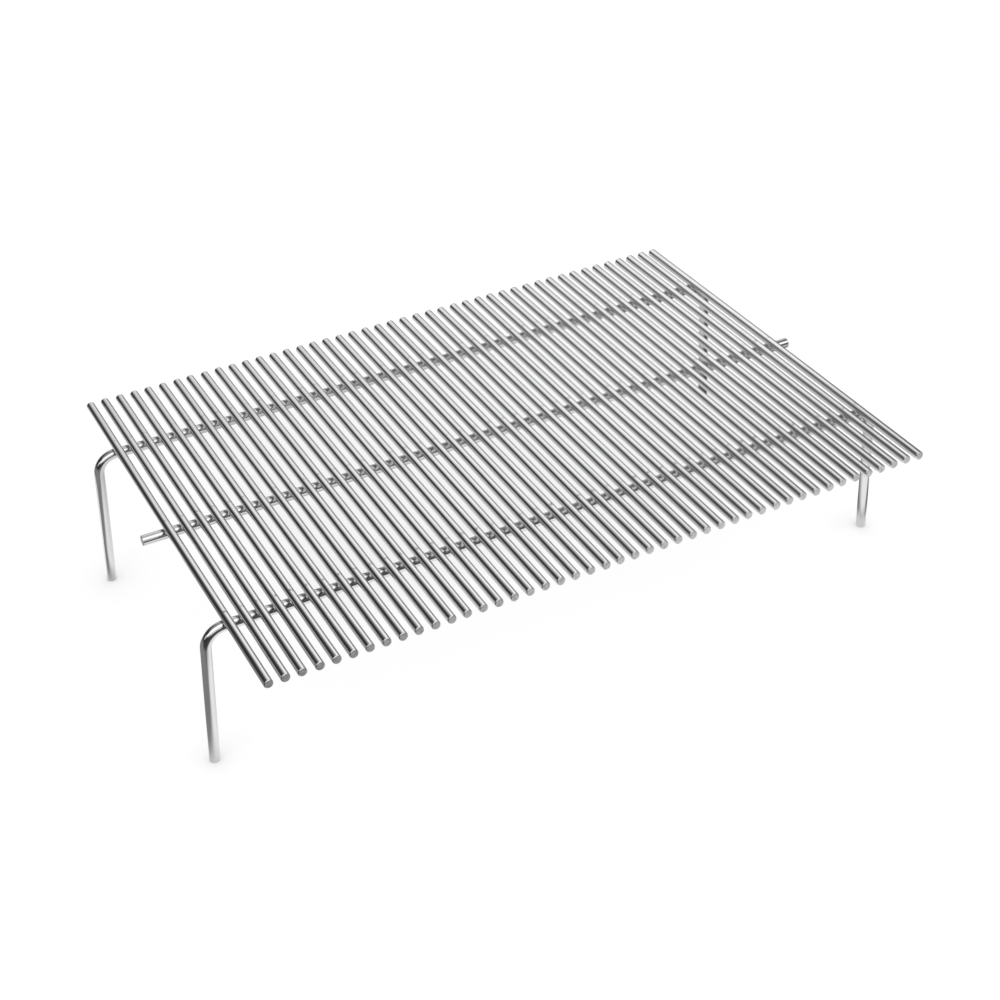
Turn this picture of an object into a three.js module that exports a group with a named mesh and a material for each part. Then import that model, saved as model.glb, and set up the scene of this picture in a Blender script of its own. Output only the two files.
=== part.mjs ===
// Welded grill grate on four wire legs. Millimetres, +Z up.
//
// Forty-five straight round bars lie side by side along Y. They rest on three
// cross rods that run along X underneath them. The front and rear cross rods
// are bent down at both ends into legs, and the middle one is straight and
// stands out past the outer bars. The origin is on the floor, under the middle
// of the bars, and all four feet stand on z = 0.

import * as THREE from 'three';

// ---- driving dimensions ----------------------------------------------------

const BAR_COUNT = 45;
const BAR_PITCH = 10.5;
const BAR_DIAMETER = 6;
const BAR_LENGTH = 332;

const ROD_DIAMETER = 7;
const ROD_SPACING = 103.5;    // front rod to middle rod, and middle to rear
const ROD_SET_SHIFT = 6.5;    // the three rods sit this far behind the middle of the bars

const GRATE_HEIGHT = 111;     // floor to the top of the bars
const WELD_STANDOFF = 0.3;    // clear gap between bars and rods, which the welds bridge

const LEG_OVERHANG = 13.5;    // outer bar's axis to the leg's axis, at rod level
const LEG_LEAN = 3;           // degrees, feet wider apart than the shoulders
const BEND_RADIUS = 13;       // to the rod's centreline
const STUB_LENGTH = 17;       // middle rod past the outer bar's axis

const END_CHAMFER = 0.4;      // deburred edge of a sawn end
const SIDES = 16;             // facets round each bar and rod
const BEND_STEPS = 8;         // facets along each bend

// ---- derived positions -----------------------------------------------------

const BAR_RADIUS = BAR_DIAMETER / 2;
const ROD_RADIUS = ROD_DIAMETER / 2;
const BAR_AXIS_Z = GRATE_HEIGHT - BAR_RADIUS;
const ROD_AXIS_Z = BAR_AXIS_Z - BAR_RADIUS - WELD_STANDOFF - ROD_RADIUS;
const OUTER_BAR_X = BAR_PITCH * (BAR_COUNT - 1) / 2;
const LEAN = THREE.MathUtils.degToRad(LEG_LEAN);

// ---- materials -------------------------------------------------------------

const barSteel = () => new THREE.MeshStandardMaterial({
  color: 0xc9cacb, roughness: 0.22, metalness: 1,
});

const rodSteel = () => new THREE.MeshStandardMaterial({
  color: 0xbfc0c2, roughness: 0.26, metalness: 1,
});

// ---- shapes ----------------------------------------------------------------

// A straight round bar along Y, centred on the origin, with deburred ends.
// Half a facet of turn about its axis puts flats at its top and bottom.
function straightBar(diameter, length) {
  const radius = diameter / 2;
  const half = length / 2;
  const profile = [
    new THREE.Vector2(0, -half),
    new THREE.Vector2(radius - END_CHAMFER, -half),
    new THREE.Vector2(radius, -half + END_CHAMFER),
    new THREE.Vector2(radius, half - END_CHAMFER),
    new THREE.Vector2(radius - END_CHAMFER, half),
    new THREE.Vector2(0, half),
  ];
  return new THREE.LatheGeometry(profile, SIDES, Math.PI / SIDES);
}

// The centreline of a leg rod: foot, leg, bend, cross rod, bend, leg, foot. It
// lies in the XZ plane. Its stations are where the cross sections stand: one at
// each end of a straight run, and BEND_STEPS + 1 round each bend.
class LegRodLine extends THREE.Curve {
  constructor() {
    super();
    const turn = Math.PI / 2 - LEAN;
    const tangentLength = BEND_RADIUS * Math.tan(turn / 2);
    const bendX = OUTER_BAR_X + LEG_OVERHANG - tangentLength;
    const right = [];
    for (let step = 0; step <= BEND_STEPS; step += 1) {
      const angle = turn * step / BEND_STEPS;
      right.push({
        x: bendX + BEND_RADIUS * Math.sin(angle),
        z: ROD_AXIS_Z - BEND_RADIUS * (1 - Math.cos(angle)),
        angle,
      });
    }
    const shoulder = right[BEND_STEPS];
    right.push({ x: shoulder.x + shoulder.z * Math.tan(LEAN), z: 0, angle: turn });
    const left = right.map(({ x, z, angle }) => ({ x: -x, z, angle: -angle })).reverse();
    this.stations = [...left, ...right];
  }

  at(u) {
    return this.stations[Math.round(u * (this.stations.length - 1))];
  }

  getPointAt(u, target = new THREE.Vector3()) {
    const { x, z } = this.at(u);
    return target.set(x, 0, z);
  }

  getTangentAt(u, target = new THREE.Vector3()) {
    const { angle } = this.at(u);
    return target.set(Math.cos(angle), 0, -Math.sin(angle));
  }
}

// One rod bent into two legs. Its sawn ends are dressed level, so that both
// feet stand flat: the end sections slide along the leg down or up to z = 0.
function legRod() {
  const line = new LegRodLine();
  const section = new THREE.Shape();
  for (let side = 0; side < SIDES; side += 1) {
    const angle = 2 * Math.PI * (side + 0.5) / SIDES;
    const point = [ROD_RADIUS * Math.cos(angle), ROD_RADIUS * Math.sin(angle)];
    if (side === 0) section.moveTo(...point);
    else section.lineTo(...point);
  }
  const geometry = new THREE.ExtrudeGeometry(section, {
    steps: line.stations.length - 1,
    extrudePath: line,
  });
  const position = geometry.attributes.position;
  for (let index = 0; index < position.count; index += 1) {
    const x = position.getX(index);
    const z = position.getZ(index);
    if (z < ROD_RADIUS) {
      position.setX(index, x + Math.sign(x) * z * Math.tan(LEAN));
      position.setZ(index, 0);
    }
  }
  return geometry;
}

// ---- assembly --------------------------------------------------------------

const grill = new THREE.Group();

function add(name, geometry, material, x, y, z) {
  const mesh = new THREE.Mesh(geometry, material);
  mesh.name = name;
  mesh.position.set(x, y, z);
  grill.add(mesh);
  return mesh;
}

for (let number = 1; number <= BAR_COUNT; number += 1) {
  const name = `bar_${String(number).padStart(2, '0')}`;
  const x = BAR_PITCH * (number - 1) - OUTER_BAR_X;
  add(name, straightBar(BAR_DIAMETER, BAR_LENGTH), barSteel(), x, 0, BAR_AXIS_Z);
}

add('front_leg_rod', legRod(), rodSteel(), 0, ROD_SET_SHIFT - ROD_SPACING, 0);
add('rear_leg_rod', legRod(), rodSteel(), 0, ROD_SET_SHIFT + ROD_SPACING, 0);

const middleRodLength = 2 * (OUTER_BAR_X + STUB_LENGTH);
const middleRod = add('middle_rod', straightBar(ROD_DIAMETER, middleRodLength),
  rodSteel(), 0, ROD_SET_SHIFT, ROD_AXIS_Z);
middleRod.rotation.z = Math.PI / 2;

export default grill;
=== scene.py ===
"""The looks of a welded stainless grill grate on four wire legs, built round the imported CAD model.

Lengths are in metres unless a name ends in _MM. Every bar and rod is a swept round section that
replaces its CAD node, the welds are drops of metal in the crossings, and all steel is procedural.
"""

import math
import random

import bpy
from mathutils import Matrix, Vector


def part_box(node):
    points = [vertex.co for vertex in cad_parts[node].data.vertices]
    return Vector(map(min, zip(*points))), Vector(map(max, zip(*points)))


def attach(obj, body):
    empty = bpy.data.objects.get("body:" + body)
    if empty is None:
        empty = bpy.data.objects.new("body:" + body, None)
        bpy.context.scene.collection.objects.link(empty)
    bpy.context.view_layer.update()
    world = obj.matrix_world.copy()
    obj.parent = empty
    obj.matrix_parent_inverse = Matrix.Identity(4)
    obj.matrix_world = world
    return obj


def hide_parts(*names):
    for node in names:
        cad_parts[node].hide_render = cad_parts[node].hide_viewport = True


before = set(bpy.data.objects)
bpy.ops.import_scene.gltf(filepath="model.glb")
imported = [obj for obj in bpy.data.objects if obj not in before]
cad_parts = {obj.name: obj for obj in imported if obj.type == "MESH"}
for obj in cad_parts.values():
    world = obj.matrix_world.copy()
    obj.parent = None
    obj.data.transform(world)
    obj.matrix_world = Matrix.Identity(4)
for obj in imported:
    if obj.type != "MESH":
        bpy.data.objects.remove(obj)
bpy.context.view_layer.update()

MM = 0.001

# ---- the frame's sizes and places ------------------------------------------------------------

CAD_SIDES = 16
FLAT = math.cos(math.pi / CAD_SIDES)    # the CAD sections are polygons that stand on a flat
LEG_LEAN = math.radians(3)              # as in the CAD source, since the frame has only boxes
BEND_RADIUS = 13 * MM                   # to the middle of the rod


def middle(node, axis):
    """The middle of a CAD node's box along one axis."""
    low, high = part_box(node)
    return (low[axis] + high[axis]) / 2


def half(node, axis):
    """Half the size of a CAD node's box along one axis."""
    low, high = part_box(node)
    return (high[axis] - low[axis]) / 2


BARS = sorted(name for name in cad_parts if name.startswith("bar_"))
RODS = ["front_leg_rod", "middle_rod", "rear_leg_rod"]
BAR_X = {name: middle(name, 0) for name in BARS}
ROD_Y = {name: middle(name, 1) for name in RODS}
BAR_RADIUS = half(BARS[0], 0) / FLAT
BAR_HALF_LENGTH = half(BARS[0], 1)
BAR_AXIS_Z = middle(BARS[0], 2)
ROD_RADIUS = half("middle_rod", 1) / FLAT
ROD_HALF_LENGTH = half("middle_rod", 0)
ROD_AXIS_Z = middle("middle_rod", 2)
FOOT_X = half("front_leg_rod", 0) - ROD_RADIUS * FLAT / math.cos(LEG_LEAN)

# ---- finish of the wire ----------------------------------------------------------------------

SECTION_SIDES = 40
BAR_STEPS = 24
ROD_STEPS = 20
CROSS_STEPS = 12                # half a cross rod, from its middle to a bend
BEND_STEPS = 24
LEG_STEPS = 8
BAR_EDGE = 0.55 * MM            # deburred edge of a sawn bar
ROD_EDGE = 0.30 * MM            # and of a sawn rod
EDGE_STEPS = 4
FACE_RINGS = 3                  # rings of a sawn face, between its edge and its centre
FACE_TILT = math.radians(2.0)   # sawn ends are never quite square
SHORT_CUT = 0.5 * MM            # how much shorter than the longest a bar may be cut
BAR_BOW = 0.18 * MM             # sideways bow of a drawn bar between its welds
BEND_FLATTENING = 0.03
GRAIN_SPREAD = 9.0              # the drawing marks of each wire start somewhere in this length
SHARP = math.radians(32)        # edges over this angle stay sharp
SEED = 45


def mix(a, b, share):
    return a + (b - a) * share


# ---- swept round sections --------------------------------------------------------------------


class Station:
    """One cross section of a wire: where it is, how it faces and how thick the wire is there."""

    def __init__(self, centre, along, length, radius=1.0, cut=0.0, flatten=0.0):
        self.centre = Vector(centre)
        self.along = Vector(along).normalized()
        self.length = length
        self.radius = radius
        self.cut = cut
        self.flatten = flatten


def end_stations(centre, outward, length, wire_radius, edge):
    """The rounded edge and the face of a sawn end, from the wire to the middle of the face."""
    outward = Vector(outward).normalized()
    stations = []
    for step in range(EDGE_STEPS + 1):
        angle = math.pi / 2 * step / EDGE_STEPS
        back = edge * (1 - math.sin(angle))
        radius = wire_radius - edge * (1 - math.cos(angle))
        cut = 1.0 if step == EDGE_STEPS else 0.0
        stations.append(Station(centre - outward * back, outward, length - back, radius, cut))
    rim = stations[-1].radius
    for ring in range(1, FACE_RINGS + 1):
        share = 1 - ring / (FACE_RINGS + 1)
        stations.append(Station(centre, outward, length, rim * share, 1.0))
    return stations


def turned_round(stations):
    """The stations of a wire's last end, made into those of its first end."""
    for station in stations:
        station.along = -station.along
        station.length = -station.length
    return stations[::-1]


def sweep(name, stations, side_axis, grain_start):
    """A closed wire through its stations. side_axis lies across the wire at every station.

    Each vertex keeps its place on an unrolled wire in the attribute grain, so that drawing marks
    follow the wire round its bends, and cut is 1 on the sawn faces.
    """
    side = Vector(side_axis).normalized()
    verts = []
    grain = []
    cut = []
    for station in stations:
        up = side.cross(station.along).normalized()
        for corner in range(SECTION_SIDES):
            angle = 2 * math.pi * corner / SECTION_SIDES
            across = math.cos(angle) * station.radius * (1 + station.flatten / 2)
            upward = math.sin(angle) * station.radius * (1 - station.flatten)
            verts.append(station.centre + side * across + up * upward)
            grain.append((math.cos(angle) * station.radius, math.sin(angle) * station.radius,
                          station.length + grain_start))
            cut.append(station.cut)
    first_tip = len(verts)
    for station in (stations[0], stations[-1]):
        verts.append(station.centre.copy())
        grain.append((0.0, 0.0, station.length + grain_start))
        cut.append(1.0)
    faces = []
    for ring in range(len(stations) - 1):
        for corner in range(SECTION_SIDES):
            following = (corner + 1) % SECTION_SIDES
            low = ring * SECTION_SIDES
            high = low + SECTION_SIDES
            faces.append((low + corner, low + following, high + following, high + corner))
    last = (len(stations) - 1) * SECTION_SIDES
    for corner in range(SECTION_SIDES):
        following = (corner + 1) % SECTION_SIDES
        faces.append((first_tip, following, corner))
        faces.append((first_tip + 1, last + corner, last + following))
    return mesh_object(name, verts, faces, grain, cut)


def mesh_object(name, verts, faces, grain, cut):
    """A piece of the object, with the two attributes that its steel reads."""
    mesh = bpy.data.meshes.new(name)
    mesh.from_pydata([tuple(v) for v in verts], [], faces)
    mesh.validate()
    mesh.update()
    grain_layer = mesh.attributes.new("grain", "FLOAT_VECTOR", "POINT")
    grain_layer.data.foreach_set("vector", [value for point in grain for value in point])
    cut_layer = mesh.attributes.new("cut", "FLOAT", "POINT")
    cut_layer.data.foreach_set("value", cut)
    mesh.shade_smooth()
    piece = bpy.data.objects.new(name, mesh)
    bpy.context.scene.collection.objects.link(piece)
    return piece


# ---- bars ------------------------------------------------------------------------------------


def bar(name, chance):
    """A straight bar along Y, a little bowed between its welds, sawn off at both ends."""
    x = BAR_X[name]
    front = -BAR_HALF_LENGTH + chance.uniform(0, SHORT_CUT)
    rear = BAR_HALF_LENGTH - chance.uniform(0, SHORT_CUT)
    bow = chance.uniform(-BAR_BOW, BAR_BOW)
    lean = chance.uniform(-BAR_BOW, BAR_BOW)

    def centre(y):
        share = y / BAR_HALF_LENGTH
        return Vector((x + bow * math.cos(math.pi * share) + lean * share, y, BAR_AXIS_Z))

    def tilted(sign):
        turn_x = chance.uniform(-FACE_TILT, FACE_TILT)
        turn_z = chance.uniform(-FACE_TILT, FACE_TILT)
        return Vector((math.sin(turn_z), sign, math.sin(turn_x)))

    stations = turned_round(end_stations(centre(front), tilted(-1), -front, BAR_RADIUS, BAR_EDGE))
    inner_front = front + 2 * BAR_EDGE
    inner_rear = rear - 2 * BAR_EDGE
    for step in range(BAR_STEPS + 1):
        y = mix(inner_front, inner_rear, step / BAR_STEPS)
        stations.append(Station(centre(y), (0, 1, 0), y, BAR_RADIUS))
    stations.extend(end_stations(centre(rear), tilted(1), rear, BAR_RADIUS, BAR_EDGE))
    return sweep(name.replace("bar", "grate_bar"), stations, (1, 0, 0),
                 chance.uniform(0, GRAIN_SPREAD))


# ---- rods ------------------------------------------------------------------------------------


def straight_rod(chance):
    """The middle rod along X, sawn off at both ends."""
    y = ROD_Y["middle_rod"]
    left = Vector((-ROD_HALF_LENGTH, y, ROD_AXIS_Z))
    right = Vector((ROD_HALF_LENGTH, y, ROD_AXIS_Z))
    stations = turned_round(end_stations(left, (-1, 0, 0), ROD_HALF_LENGTH, ROD_RADIUS, ROD_EDGE))
    inner = ROD_HALF_LENGTH - 2 * ROD_EDGE
    for step in range(ROD_STEPS + 1):
        x = mix(-inner, inner, step / ROD_STEPS)
        stations.append(Station((x, y, ROD_AXIS_Z), (1, 0, 0), x, ROD_RADIUS))
    stations.extend(end_stations(right, (1, 0, 0), ROD_HALF_LENGTH, ROD_RADIUS, ROD_EDGE))
    return sweep("cross_rod_middle", stations, (0, 1, 0), chance.uniform(0, GRAIN_SPREAD))


def leg_half(y):
    """Stations from the middle of a cross rod to its right foot."""
    turn = math.pi / 2 - LEG_LEAN
    corner_x = FOOT_X - ROD_AXIS_Z * math.tan(LEG_LEAN)
    tangent = BEND_RADIUS * math.tan(turn / 2)
    bend_x = corner_x - tangent
    stations = []
    for step in range(CROSS_STEPS):
        x = bend_x * step / CROSS_STEPS
        stations.append(Station((x, y, ROD_AXIS_Z), (1, 0, 0), x, ROD_RADIUS))
    for step in range(BEND_STEPS + 1):
        angle = turn * step / BEND_STEPS
        flatten = BEND_FLATTENING * math.sin(math.pi * step / BEND_STEPS) ** 2
        centre = (bend_x + BEND_RADIUS * math.sin(angle), y,
                  ROD_AXIS_Z - BEND_RADIUS * (1 - math.cos(angle)))
        along = (math.cos(angle), 0, -math.sin(angle))
        stations.append(Station(centre, along, bend_x + BEND_RADIUS * angle, ROD_RADIUS,
                                flatten=flatten))
    shoulder = stations[-1]
    foot = Vector((FOOT_X, y, 0))
    leg = foot - shoulder.centre
    for step in range(1, LEG_STEPS + 1):
        share = step / LEG_STEPS * (1 - 3 * ROD_RADIUS / leg.length)
        stations.append(Station(shoulder.centre + leg * share, leg,
                                shoulder.length + leg.length * share, ROD_RADIUS))
    stations.extend(end_stations(foot, leg, shoulder.length + leg.length, ROD_RADIUS, ROD_EDGE))
    return stations


def leg_rod(node, name, chance):
    """A cross rod whose ends are bent down into legs. Its feet are dressed level with the floor."""
    y = ROD_Y[node]
    right = leg_half(y)
    left = []
    for station in reversed(right[1:]):
        centre = (-station.centre.x, y, station.centre.z)
        along = (station.along.x, 0, -station.along.z)
        left.append(Station(centre, along, -station.length, station.radius, station.cut,
                            station.flatten))
    piece = sweep(name, left + right, (0, 1, 0), chance.uniform(0, GRAIN_SPREAD))
    for vertex in piece.data.vertices:
        foot_share = 1 - vertex.co.z / (2 * ROD_RADIUS)
        if foot_share > 0:
            side = math.copysign(1, vertex.co.x)
            axis_x = side * (FOOT_X - vertex.co.z * math.tan(LEG_LEAN))
            lift = (vertex.co.x - axis_x) * side * math.sin(LEG_LEAN) * min(foot_share, 1)
            vertex.co.z = max(vertex.co.z - lift, 0)
    return piece


# ---- welds -----------------------------------------------------------------------------------

NUGGET_SIDES = 16
NUGGET_RINGS = 6
NUGGET_WAIST = 1.3 * MM
NUGGET_FLARE = 0.6 * MM
NUGGET_BITE = 0.12 * MM         # how far a nugget reaches into the bar and the rod
NUGGET_SLIP = 0.2 * MM          # off the middle of the crossing
NUGGET_SIZES = (0.85, 1.15)
NUGGET_TAPER = 0.15             # how much narrower it lies across a wire than along it
LOBE_COUNTS = (2, 3, 5)         # three waves round it make its outline uneven
LOBE_DEPTHS = (0.02, 0.06)


def nugget(x, y, chance, verts, faces):
    """Adds one drop of weld metal between a bar and a rod: a waist that flares onto both."""
    size = chance.uniform(*NUGGET_SIZES)
    slip_x = chance.uniform(-NUGGET_SLIP, NUGGET_SLIP)
    slip_y = chance.uniform(-NUGGET_SLIP, NUGGET_SLIP)
    lobes = [(chance.uniform(*LOBE_DEPTHS), count, chance.uniform(0, 2 * math.pi))
             for count in LOBE_COUNTS]
    start = len(verts)
    for ring in range(NUGGET_RINGS + 1):
        height = ring / NUGGET_RINGS
        flare = (2 * height - 1) ** 2
        tapered = 1 - NUGGET_TAPER * flare
        for corner in range(NUGGET_SIDES):
            angle = 2 * math.pi * corner / NUGGET_SIDES
            uneven = 1 + sum(share * math.sin(count * angle + turn) for share, count, turn in lobes)
            reach = (NUGGET_WAIST + NUGGET_FLARE * flare) * size * uneven
            reach_x = reach * (1 if height < 0.5 else tapered)
            reach_y = reach * (1 if height > 0.5 else tapered)
            across = slip_x + reach_x * math.cos(angle)
            along = slip_y + reach_y * math.sin(angle)
            rod_top = ROD_AXIS_Z + math.sqrt(ROD_RADIUS ** 2 - along ** 2) - NUGGET_BITE
            bar_under = BAR_AXIS_Z - math.sqrt(BAR_RADIUS ** 2 - across ** 2) + NUGGET_BITE
            verts.append((x + across, y + along, mix(rod_top, bar_under, height)))
    low = len(verts)
    verts.append((x, y, ROD_AXIS_Z + ROD_RADIUS - 2 * NUGGET_BITE))
    verts.append((x, y, BAR_AXIS_Z - BAR_RADIUS + 2 * NUGGET_BITE))
    top = start + NUGGET_RINGS * NUGGET_SIDES
    for corner in range(NUGGET_SIDES):
        following = (corner + 1) % NUGGET_SIDES
        for ring in range(NUGGET_RINGS):
            a = start + ring * NUGGET_SIDES
            b = a + NUGGET_SIDES
            faces.append((a + corner, a + following, b + following, b + corner))
        faces.append((low, start + following, start + corner))
        faces.append((low + 1, top + corner, top + following))


def weld_row(node, name, chance):
    """The welds along one rod, one for each bar."""
    verts = []
    faces = []
    for bar_name in BARS:
        nugget(BAR_X[bar_name], ROD_Y[node], chance, verts, faces)
    return mesh_object(name, verts, faces, verts, [0.0] * len(verts))


# ---- materials -------------------------------------------------------------------------------


NOISE_ROUGHNESS = 0.55


class Nodes:
    """A short way to add and link shader nodes."""

    def __init__(self, material):
        material.use_nodes = True
        self.tree = material.node_tree
        self.shader = self.tree.nodes["Principled BSDF"]

    def add(self, kind, inputs=None, **settings):
        node = self.tree.nodes.new(kind)
        for key, value in settings.items():
            setattr(node, key, value)
        for key, value in (inputs or {}).items():
            if isinstance(value, bpy.types.NodeSocket):
                self.tree.links.new(value, node.inputs[key])
            else:
                node.inputs[key].default_value = value
        return node

    def attribute(self, name, output):
        return self.add("ShaderNodeAttribute", attribute_name=name).outputs[output]

    def noise(self, vector, stretch, detail=3.0):
        mapped = self.add("ShaderNodeMapping", {"Vector": vector, "Scale": stretch})
        return self.add("ShaderNodeTexNoise", {
            "Vector": mapped.outputs["Vector"], "Scale": 1.0, "Detail": detail,
            "Roughness": NOISE_ROUGHNESS}).outputs["Fac"]

    def ranged(self, value, low, high, to_low, to_high, kind="LINEAR"):
        return self.add("ShaderNodeMapRange", {
            "Value": value, "From Min": low, "From Max": high, "To Min": to_low,
            "To Max": to_high}, interpolation_type=kind).outputs["Result"]

    def soft(self, value, low, high, to_low=0.0, to_high=1.0):
        """A soft step from to_low to to_high, while value goes from low to high."""
        return self.ranged(value, low, high, to_low, to_high, "SMOOTHSTEP")

    def band(self, value, opening, closing):
        """1 between two soft edges and 0 outside them."""
        return self.times(self.soft(value, *opening), self.soft(value, *closing, 1.0, 0.0))

    def between(self, share, a, b):
        return self.add("ShaderNodeMix", {0: share, 2: a, 3: b}, data_type="FLOAT").outputs[0]

    def operate(self, operation, first, *others):
        """One operation, repeated over all of the values."""
        for other in others:
            first = self.add("ShaderNodeMath", {0: first, 1: other},
                             operation=operation).outputs[0]
        return first

    def plus(self, *values):
        return self.operate("ADD", *values)

    def minus(self, a, b):
        return self.operate("SUBTRACT", a, b)

    def times(self, *values):
        return self.operate("MULTIPLY", *values)

    def most(self, *values):
        return self.operate("MAXIMUM", *values)

    def apart(self, a, b):
        """How far a and b are apart."""
        return self.operate("ABSOLUTE", self.minus(a, b), 0.0)

    def blend(self, share, a, b):
        return self.add("ShaderNodeMix", {0: share, 6: a, 7: b}, data_type="RGBA").outputs[2]

    def join(self, value, socket):
        self.tree.links.new(value, self.shader.inputs[socket])

    def bump(self, height, strength, distance):
        node = self.add("ShaderNodeBump", {"Height": height, "Strength": strength,
                                           "Distance": distance})
        self.join(node.outputs["Normal"], "Normal")


# Stretch of each noise on the unrolled wire: across it twice, and then along it.
DRAWING_MARKS = (2600, 2600, 26)
MOTTLE = (160, 160, 45)
SAW_MARKS = (700, 5200, 700)
SMEAR = (520, 520, 520)
RAGGED = (900, 900, 900)
SCALE = (1500, 1500, 1500)

# The span of its values that a noise is read over.
WIDE = (0.25, 0.75)
PLAIN = (0.3, 0.7)
CRISP = (0.35, 0.65)
SPECKLED = (0.42, 0.58)

BAR_COLOUR = (0.63, 0.63, 0.635, 1)
ROD_COLOUR = (0.60, 0.60, 0.605, 1)
MOTTLED = 0.93                          # the darker patches, as a share of the colour
MARK_COLOUR = (0.17, 0.165, 0.16, 1)    # of the electrode marks
MARK_COVER = 0.75
SAWN_COLOURS = (0.52, 0.52, 0.525, 1), (0.88, 0.88, 0.88, 1)
WELD_COLOURS = (0.20, 0.19, 0.185, 1), (0.52, 0.515, 0.51, 1)

BAR_ROUGHNESS = (0.07, 0.17)
ROD_ROUGHNESS = (0.08, 0.20)
WELD_ROUGHNESS = (0.5, 0.28)
MOTTLE_ROUGHNESS = (-0.02, 0.03)        # added by the mottling,
MARK_ROUGHNESS = 0.25                   # on the electrode marks
SAWN_ROUGHNESS = 0.48                   # and on the sawn faces

DRAWN_HEIGHT = 0.006 * MM
DRAWN_STRENGTH = 0.25
MARK_DEPTH = 9.0                        # of the electrode marks, and the next
SAW_DEPTH = 6.0                         # of the saw marks, as multiples of DRAWN_HEIGHT
WELD_HEIGHT = 0.1 * MM
WELD_STRENGTH = 0.5

MARK_REACH = (0.4 * MM, 1.9 * MM)       # from the middle of a rod, along the bar
MARK_CROWN = (0.72, 0.96)               # height on the bar, as a share of its radius
MARK_STRENGTH = {"front_leg_rod": 1.0, "middle_rod": 0.5, "rear_leg_rod": 0.5}


def weld_marks(nodes, grain):
    """The dull dents that the welding electrodes leave on a bar's crown, over each rod."""
    place = nodes.add("ShaderNodeTexCoord").outputs["Object"]
    along = nodes.add("ShaderNodeSeparateXYZ", {0: place}).outputs["Y"]
    height = nodes.add("ShaderNodeSeparateXYZ", {0: grain}).outputs["Y"]
    near = nodes.plus(*[
        nodes.soft(nodes.apart(along, ROD_Y[rod]), *MARK_REACH, MARK_STRENGTH[rod], 0.0)
        for rod in RODS])
    crown = nodes.soft(height, *[share * BAR_RADIUS for share in MARK_CROWN])
    ragged = nodes.noise(grain, RAGGED, detail=2)
    return nodes.times(near, crown, nodes.soft(ragged, *SPECKLED))


def drawn_steel(name, colour, roughness, welded_from_above):
    """Drawn and polished stainless wire: fine marks along it, soft mottling and sawn ends."""
    material = bpy.data.materials.new(name)
    nodes = Nodes(material)
    grain = nodes.attribute("grain", "Vector")
    cut = nodes.attribute("cut", "Fac")
    marks = nodes.noise(grain, DRAWING_MARKS, detail=4)
    mottle = nodes.noise(grain, MOTTLE, detail=2)
    saw = nodes.noise(grain, SAW_MARKS)
    smear = nodes.noise(grain, SMEAR, detail=2)
    dull = weld_marks(nodes, grain) if welded_from_above else 0.0

    patchy = [channel * MOTTLED for channel in colour[:3]] + [1]
    drawn = nodes.blend(nodes.ranged(mottle, *PLAIN, 0.0, 1.0), patchy, colour)
    drawn = nodes.blend(nodes.times(dull, MARK_COVER), drawn, MARK_COLOUR)
    grey = nodes.plus(nodes.ranged(saw, *PLAIN, 0.0, 0.5), nodes.ranged(smear, *CRISP, 0.0, 0.5))
    sawn = nodes.blend(grey, *SAWN_COLOURS)
    nodes.join(nodes.blend(cut, drawn, sawn), "Base Color")

    nodes.join(nodes.plus(nodes.ranged(marks, *WIDE, *roughness),
                          nodes.ranged(mottle, *PLAIN, *MOTTLE_ROUGHNESS),
                          nodes.times(dull, MARK_ROUGHNESS),
                          nodes.times(cut, SAWN_ROUGHNESS)), "Roughness")

    drawn_height = nodes.minus(nodes.times(marks, nodes.minus(1.0, cut)),
                               nodes.times(dull, MARK_DEPTH))
    saw_height = nodes.times(saw, nodes.times(cut, SAW_DEPTH))
    nodes.bump(nodes.plus(drawn_height, saw_height), DRAWN_STRENGTH, DRAWN_HEIGHT)
    nodes.shader.inputs["Metallic"].default_value = 1.0
    return material


def weld_steel():
    """Weld metal: the same steel, darker and rougher, with a ripple and a little scale."""
    material = bpy.data.materials.new("weld_metal")
    nodes = Nodes(material)
    scale = nodes.noise(nodes.attribute("grain", "Vector"), SCALE)
    nodes.join(nodes.blend(nodes.ranged(scale, *CRISP, 0.0, 1.0), *WELD_COLOURS), "Base Color")
    nodes.join(nodes.ranged(scale, *PLAIN, *WELD_ROUGHNESS), "Roughness")
    nodes.bump(scale, WELD_STRENGTH, WELD_HEIGHT)
    nodes.shader.inputs["Metallic"].default_value = 1.0
    return material


# ---- camera, floor and light -----------------------------------------------------------------

CAMERA_LENS_MM = 61.728
CAMERA_SENSOR_MM = 36
CAMERA_CLIP = (0.01, 100)
CAMERA_TURN = math.radians(-27.568)
CAMERA_RISE = math.radians(35.807)
CAMERA_ROLL = math.radians(-1.0226)
CAMERA_AIM = Vector((-0.034626, -0.073603, BAR_AXIS_Z))
CAMERA_DISTANCE = 1.09972


def camera():
    """The photograph's viewing angle: turned to the left, looking down, hardly rolled."""
    back = Vector((math.sin(CAMERA_TURN) * math.cos(CAMERA_RISE),
                   -math.cos(CAMERA_TURN) * math.cos(CAMERA_RISE), math.sin(CAMERA_RISE)))
    level = Vector((0, 0, 1)).cross(back).normalized()
    upright = back.cross(level)
    right = level * math.cos(CAMERA_ROLL) + upright * math.sin(CAMERA_ROLL)
    up = upright * math.cos(CAMERA_ROLL) - level * math.sin(CAMERA_ROLL)
    data = bpy.data.cameras.new("photo_angle")
    data.lens = CAMERA_LENS_MM
    data.sensor_width = CAMERA_SENSOR_MM
    data.clip_start, data.clip_end = CAMERA_CLIP
    view = bpy.data.objects.new("photo_angle", data)
    view.matrix_world = Matrix((right, up, back)).transposed().to_4x4()
    view.location = CAMERA_AIM + back * CAMERA_DISTANCE
    bpy.context.scene.collection.objects.link(view)
    bpy.context.scene.camera = view


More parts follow.
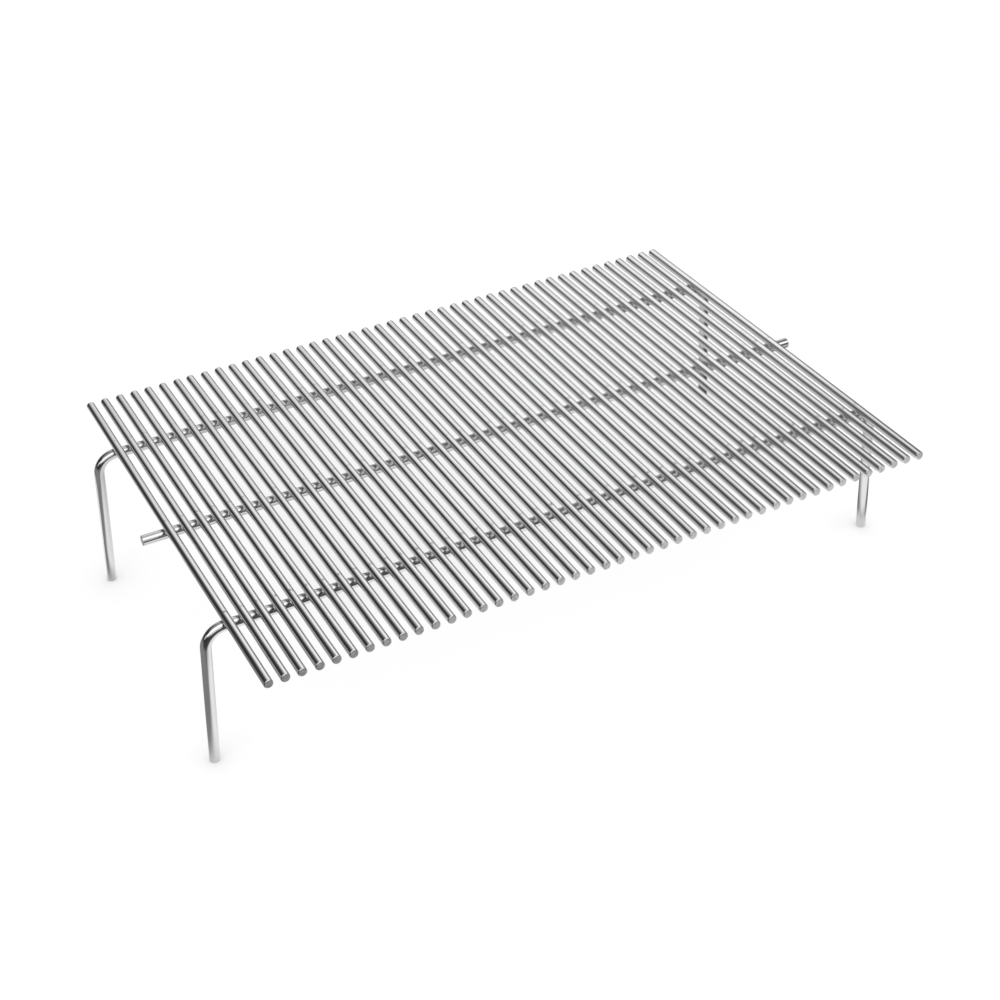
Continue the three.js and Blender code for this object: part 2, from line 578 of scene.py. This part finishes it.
FLOOR_HALF = 30.0
CEILING_HALF = 4.0
CEILING_Z = 0.75
ROOM_GLOW = 0.04                # the dim room, beyond the floor and the soft boxes
CEILING_GLOW = 0.05             # between the boxes

# What the camera sees of the floor.
SEEN_PAPER = (0.20, 0.20, 0.20, 1)
SEEN_GLOW = (0.87, 1.02)        # near the grate, and far off, where no horizon may show
FAR_OFF = (0.6, 1.6)
CONTACT_REACH = 0.04            # of the painted shade round a foot
CONTACT_SPAN = (0.55, 1.0)      # shares of open directions, from full shade to none
CONTACT_SHADE = 0.28
GRATE_SHADE = 0.09              # painted soft shadow of the bars, seen through their gaps
GRATE_SHADE_MIDDLE = (0.07, 0.135)

# What the steel sees of the floor: paper with brighter and darker sheets on it, glowing.
MIRRORED_PAPER = (0.05, 0.05, 0.05, 1)
DARK_GLOW = 0.28                # left of the lit sheet
DARK_SHARES = (0.15, 0.04)      # what is left right of it, of the glow and of the sheet
SHEET_GLOW = (0.74, 0.90)       # the lit sheet, at its left and at its right,
SHEET_FRONT_GLOW = 1.30         # and before the front rod
FRONT_SHARE = 0.05              # what is left of the glow in front of it
LEFT_EDGE_GLOW = 0.28           # added near its left edge
REAR_LEG_GLOW = 0.22            # and beside the rear left leg
FOOT_GLOW = 0.95                # a small sheet at the front right foot
RIGHT_GLOW = 0.80               # one far out on the right
CORNER_GLOW = 0.90              # and one beside the grate's right front

# Where the lit sheet's left edge moves to the right (+) or left (-): from y, to y, by how much. It
# lies beside the front leg, bends in before the rear leg and opens behind it.
LEFT_EDGE_MOVES = [(-0.12, -0.04, 0.012), (-0.04, 0.02, -0.035), (0.07, 0.10, 0.035),
                   (0.103, 0.143, -0.13)]

# The soft boxes' brightness.
REAR_GLOW = 1.42
REAR_FAR_SHARE = 0.68
REAR_RIGHT_SHARE = 0.10
GAP_GLOW = (0.40, 1.05)         # at the left, and over the grate
FRONT_GLOW = 1.90
FRONT_FAR_SHARE = 0.79
FAR_FRONT_GLOW = 1.35
SIDE_GLOW = 0.95
BOX_SLANT = 0.4                 # the slanting edges go this far to the left for 1 to the rear


def flat_sheet(name, half_size, z):
    """A square stage sheet, and the nodes of its empty material, with its places along X and Y."""
    mesh = bpy.data.meshes.new(name)
    corners = [(-half_size, -half_size, z), (half_size, -half_size, z),
               (half_size, half_size, z), (-half_size, half_size, z)]
    mesh.from_pydata(corners, [], [(0, 1, 2, 3)])
    sheet = bpy.data.objects.new(name, mesh)
    bpy.context.scene.collection.objects.link(sheet)
    material = bpy.data.materials.new(name)
    mesh.materials.append(material)
    nodes = Nodes(material)
    nodes.tree.nodes.clear()
    here = nodes.add("ShaderNodeTexCoord").outputs["Object"]
    place = nodes.add("ShaderNodeSeparateXYZ", {0: here})
    return sheet, nodes, place.outputs["X"], place.outputs["Y"]


def seen_glow(nodes, x, y):
    """The white paper as the camera sees it, with faint painted shade at the feet and under the
    bars.
    """
    near = nodes.add("ShaderNodeAmbientOcclusion", {"Distance": CONTACT_REACH}, samples=8)
    contact = nodes.ranged(near.outputs["AO"], *CONTACT_SPAN, 1 - CONTACT_SHADE, 1.0)
    away = nodes.most(nodes.apart(x, 0.0), nodes.apart(y, 0.0))
    middle_x, middle_y = GRATE_SHADE_MIDDLE
    shade = nodes.times(nodes.soft(nodes.apart(x, middle_x), 0.18, 0.25, GRATE_SHADE, 0.0),
                        nodes.soft(nodes.apart(y, middle_y), 0.12, 0.18, 1.0, 0.0))
    return nodes.times(contact, nodes.soft(away, *FAR_OFF, *SEEN_GLOW), nodes.minus(1.0, shade))


def lit_sheet(nodes, x, y):
    """The lit sheet under the grate and the dimmer glow round it, as the steel sees them."""
    moved = nodes.plus(*[nodes.soft(y, low, high, 0.0, move)
                         for low, high, move in LEFT_EDGE_MOVES])
    left = nodes.soft(nodes.minus(x, moved), -0.285, -0.235)
    tuck = nodes.soft(y, -0.16, -0.08, 0.0, 0.11)
    glow_right, sheet_right = DARK_SHARES
    right = nodes.soft(nodes.plus(x, tuck), 0.28, 0.38, 1.0, sheet_right)
    slant = nodes.times(nodes.most(x, -0.2), 0.35)
    front = nodes.soft(nodes.plus(y, slant), -0.31, -0.24, FRONT_SHARE, 1.0)

    by_left_edge = nodes.soft(x, -0.26, -0.16, LEFT_EDGE_GLOW, 0.0)
    by_rear_leg = nodes.times(nodes.soft(x, -0.19, -0.12, REAR_LEG_GLOW, 0.0),
                              nodes.band(y, (-0.04, 0.02), (0.16, 0.22)))
    under = nodes.plus(nodes.soft(x, -0.20, 0.15, *SHEET_GLOW), by_left_edge, by_rear_leg)
    # painted shadow of the bars: the sheet glows less under the grate than before the front rod
    sheet = nodes.between(nodes.soft(y, -0.14, -0.04), SHEET_FRONT_GLOW, under)
    return nodes.times(nodes.between(nodes.times(left, right), DARK_GLOW, sheet),
                       nodes.between(right, glow_right, 1.0), front)


def mirrored_glow(nodes, x, y):
    """The floor as the steel sees it: the lit sheet, and three others on the right."""
    from_foot = nodes.plus(nodes.apart(x, FOOT_X), nodes.apart(y, ROD_Y["front_leg_rod"]))
    at_foot = nodes.soft(from_foot, 0.012, 0.045, FOOT_GLOW, 0.0)
    off_right = nodes.minus(x, nodes.most(y, nodes.times(y, -0.4)))
    at_right = nodes.soft(off_right, 0.50, 0.65, 0.0, RIGHT_GLOW)
    at_corner = nodes.times(nodes.soft(x, 0.28, 0.34, 0.0, CORNER_GLOW),
                            nodes.band(y, (-0.36, -0.28), (-0.065, -0.045)))
    return nodes.most(lit_sheet(nodes, x, y), at_foot, at_right, at_corner)


def floor():
    """White paper. The camera sees it plain, and the steel sees sheets of light and dark."""
    _, nodes, x, y = flat_sheet("floor", FLOOR_HALF, 0)
    seen = nodes.add("ShaderNodeLightPath").outputs["Is Camera Ray"]
    paper = nodes.add("ShaderNodeBsdfDiffuse", {
        "Color": nodes.blend(seen, MIRRORED_PAPER, SEEN_PAPER)})
    light = nodes.add("ShaderNodeEmission", {
        "Strength": nodes.between(seen, mirrored_glow(nodes, x, y), seen_glow(nodes, x, y))})
    both = nodes.add("ShaderNodeAddShader", {0: paper.outputs[0], 1: light.outputs[0]})
    nodes.add("ShaderNodeOutputMaterial", {"Surface": both.outputs[0]})


def ceiling():
    """Soft boxes over the grate. The camera does not see them, and the steel does."""
    sheet, nodes, x, y = flat_sheet("soft_boxes", CEILING_HALF, CEILING_Z)
    sheet.visible_camera = False
    sheet.visible_shadow = False
    slanted = nodes.plus(x, nodes.times(y, BOX_SLANT))

    # Behind the grate: from a slanting edge at the left it gets brighter to the right.
    across = nodes.operate("DIVIDE", nodes.plus(slanted, 0.04), math.hypot(1, BOX_SLANT))
    nearer = nodes.times(nodes.most(x, 0.0), 0.25)
    rear = nodes.times(nodes.soft(across, -0.30, 0.46, 0.0, REAR_GLOW),
                       nodes.soft(nodes.plus(y, nearer), 0.30, 0.60),
                       nodes.soft(y, 0.76, 1.2, 1.0, REAR_FAR_SHARE))
    # Between it and the front box. Both fade out towards the right front.
    gap = nodes.times(nodes.soft(x, -0.30, 0.05, *GAP_GLOW), nodes.soft(x, -1.2, -0.8),
                      nodes.band(y, (-0.40, -0.20), (0.30, 0.48)))
    rear_and_gap = nodes.times(nodes.plus(rear, gap),
                               nodes.soft(nodes.minus(x, y), -0.10, 0.42, 1.0, REAR_RIGHT_SHARE),
                               nodes.soft(x, 1.5, 2.9, 1.0, 0.0))

    # In front, for the rods; far in front, for the rear view; at both sides, for the side views.
    front = nodes.times(FRONT_GLOW, nodes.band(x, (-2.10, -1.70), (1.0, 1.4)),
                        nodes.band(y, (-1.25, -1.0), (-0.24, -0.08)),
                        nodes.soft(y, -0.85, -0.55, FRONT_FAR_SHARE, 1.0))
    far_front = nodes.times(nodes.soft(slanted, -0.75, -0.40, FAR_FRONT_GLOW, 0.0),
                            nodes.soft(x, -2.2, -1.4),
                            nodes.band(y, (-3.8, -3.0), (-1.65, -1.40)))
    sides = nodes.times(nodes.soft(nodes.apart(x, 0.0), 1.4, 1.9, 0.0, SIDE_GLOW),
                        nodes.band(y, (-0.6, -0.4), (0.28, 0.42)))

    glow = nodes.plus(rear_and_gap, nodes.most(front, far_front, sides), CEILING_GLOW)
    light = nodes.add("ShaderNodeEmission", {"Strength": glow})
    nodes.add("ShaderNodeOutputMaterial", {"Surface": light.outputs[0]})


def studio():
    """The dim room round the table, and white paper where the camera looks past the floor."""
    world = bpy.data.worlds.new("studio")
    bpy.context.scene.world = world
    world.use_nodes = True
    tree = world.node_tree
    tree.nodes.clear()
    room = tree.nodes.new("ShaderNodeBackground")
    room.inputs["Strength"].default_value = ROOM_GLOW
    room.inputs["Color"].default_value = (1, 1, 1, 1)
    paper = tree.nodes.new("ShaderNodeBackground")
    paper.inputs["Color"].default_value = (1, 1, 1, 1)
    seen = tree.nodes.new("ShaderNodeLightPath")
    chosen = tree.nodes.new("ShaderNodeMixShader")
    tree.links.new(seen.outputs["Is Camera Ray"], chosen.inputs[0])
    tree.links.new(room.outputs[0], chosen.inputs[1])
    tree.links.new(paper.outputs[0], chosen.inputs[2])
    output = tree.nodes.new("ShaderNodeOutputWorld")
    tree.links.new(chosen.outputs[0], output.inputs["Surface"])


# ---- assembly --------------------------------------------------------------------------------


def finish_piece(piece, node, material):
    """Gives a piece its steel and its place in the frame. A row of welds replaces no CAD node."""
    piece.data.materials.append(material)
    piece.data.set_sharp_from_angle(angle=SHARP)
    if node:
        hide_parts(node)
    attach(piece, "root")


def build():
    """Every bar, rod and row of welds. The order of the random draws is fixed."""
    chance = random.Random(SEED)
    bar_finish = drawn_steel("bar_steel", BAR_COLOUR, BAR_ROUGHNESS, True)
    rod_finish = drawn_steel("rod_steel", ROD_COLOUR, ROD_ROUGHNESS, False)
    weld_finish = weld_steel()
    for name in BARS:
        finish_piece(bar(name, chance), name, bar_finish)
    finish_piece(straight_rod(chance), "middle_rod", rod_finish)
    finish_piece(leg_rod("front_leg_rod", "leg_rod_front", chance), "front_leg_rod",
                 rod_finish)
    finish_piece(leg_rod("rear_leg_rod", "leg_rod_rear", chance), "rear_leg_rod",
                 rod_finish)
    for node in RODS:
        row = weld_row(node, node.replace("leg_", "").replace("rod", "welds"), chance)
        finish_piece(row, None, weld_finish)


camera()
build()
floor()
ceiling()
studio()
bpy.context.scene.view_settings.view_transform = "Standard"
